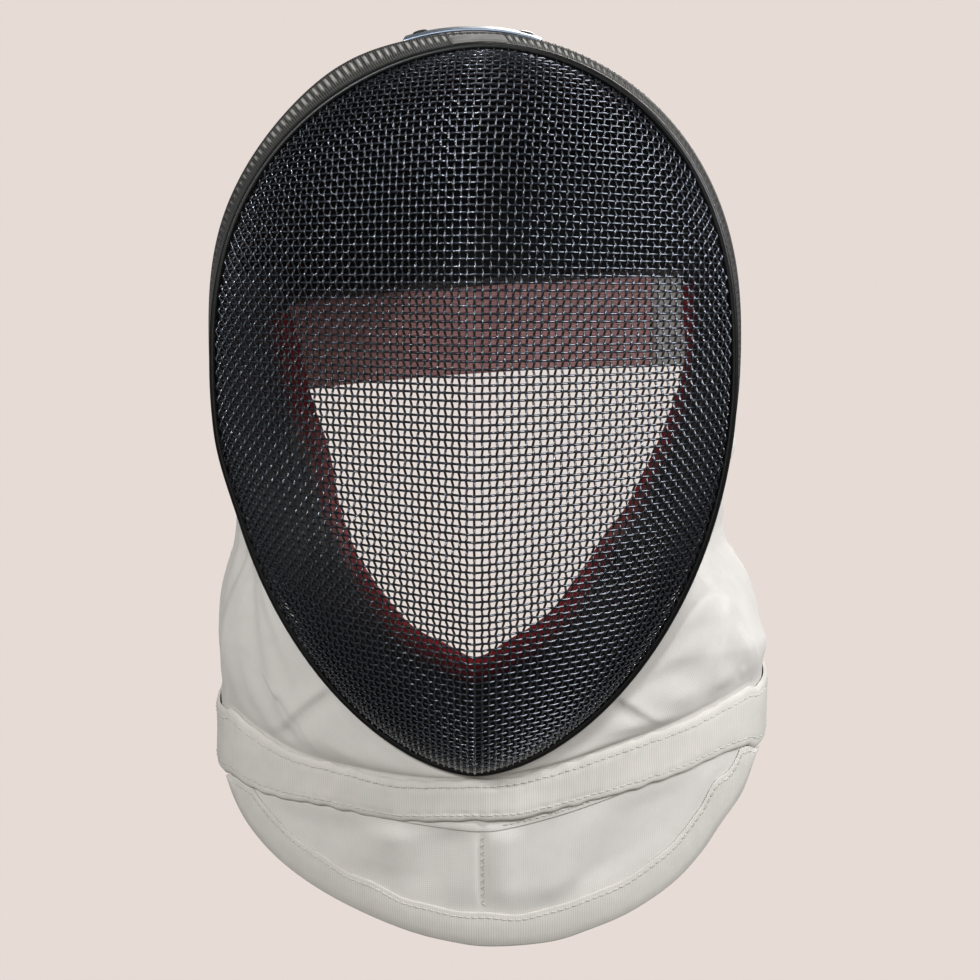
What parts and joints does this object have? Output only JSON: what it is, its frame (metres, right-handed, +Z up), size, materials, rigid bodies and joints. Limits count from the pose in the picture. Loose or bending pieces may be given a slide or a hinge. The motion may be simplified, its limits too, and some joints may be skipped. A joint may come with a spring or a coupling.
{
  "type": "fencing mask",
  "caption": "Fencing mask: ridged black wire face, wire crown, taped rim, red padded lining, nape strap and a white quilted bib that hangs below a webbing band.",
  "frame": {"origin": "the head seat, the point under the crown padding where the top of the wearer's head rests", "axes": "+Z up, -Y the way the wearer faces, +X the wearer's left"},
  "size_m": [0.241, 0.2276, 0.3829],
  "materials": {
    "black_wire": "black powder-coated woven wire, satin",
    "black_piping": "black moulded edge bead, satin",
    "grey_tape": "dark grey ribbed tape",
    "plate_steel": "polished steel strip",
    "rivet_black": "black domed heads",
    "black_padding": "matt black padded cloth",
    "red_lining": "dark red brushed lining cloth",
    "pink_elastic": "dusty pink padded strap",
    "white_bib": "white tightly woven bib cloth",
    "white_webbing": "white ribbed webbing"
  },
  "bodies": {
    "root": {"face_mesh": "black_wire", "rim_piping": "black_piping", "crown_mesh": "black_wire", "rim_tape": "grey_tape", "crown_pad": "black_padding", "rear_trim": "grey_tape", "tape_joint": "grey_tape", "crown_plate": "plate_steel", "plate_rivet_left": "rivet_black", "plate_rivet_right": "rivet_black", "rear_strap": "pink_elastic", "face_lining": "red_lining", "bib_upper": "white_bib", "bib_band": "white_webbing", "bib_lower": "white_bib", "bib_binding": "white_webbing"}
  },
  "joints": []
}
